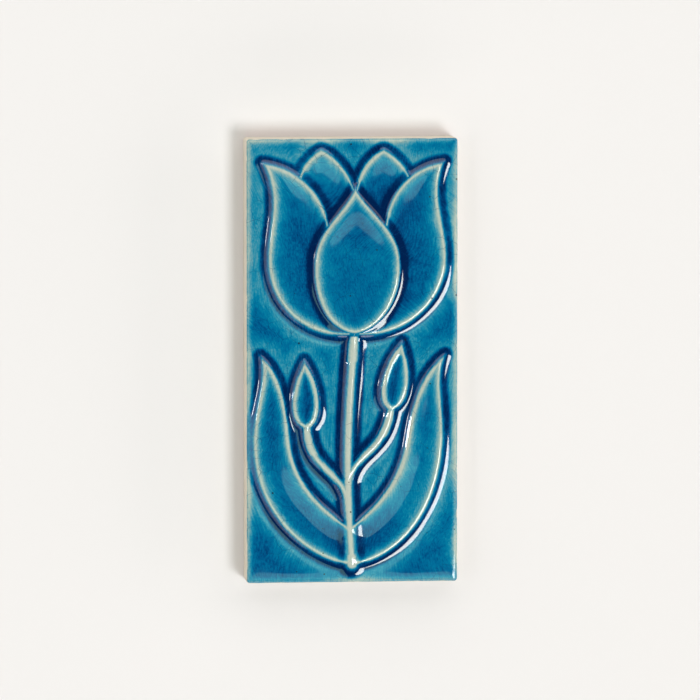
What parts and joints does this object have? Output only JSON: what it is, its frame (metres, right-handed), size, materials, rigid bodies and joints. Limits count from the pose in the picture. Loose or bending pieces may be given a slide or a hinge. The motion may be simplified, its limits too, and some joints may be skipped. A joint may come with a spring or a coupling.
{
  "type": "glazed relief tile",
  "caption": "Upright rectangular ceramic wall tile with a tulip plant in low relief under a glossy blue glaze, and a plain flat back.",
  "frame": {"origin": "middle of the flat back", "axes": "+Z out of the glazed face, +Y along the tile's length towards the flower, +X across the width to the right as seen from the face"},
  "size_m": [0.072, 0.151, 0.0146],
  "materials": {
    "glaze": "clear glossy blue glaze, pale where thin on the relief's edges and navy where it pools beside them; bare cream bisque on the sides and back"
  },
  "bodies": {
    "root": {"relief_tile": "glaze"}
  },
  "joints": []
}
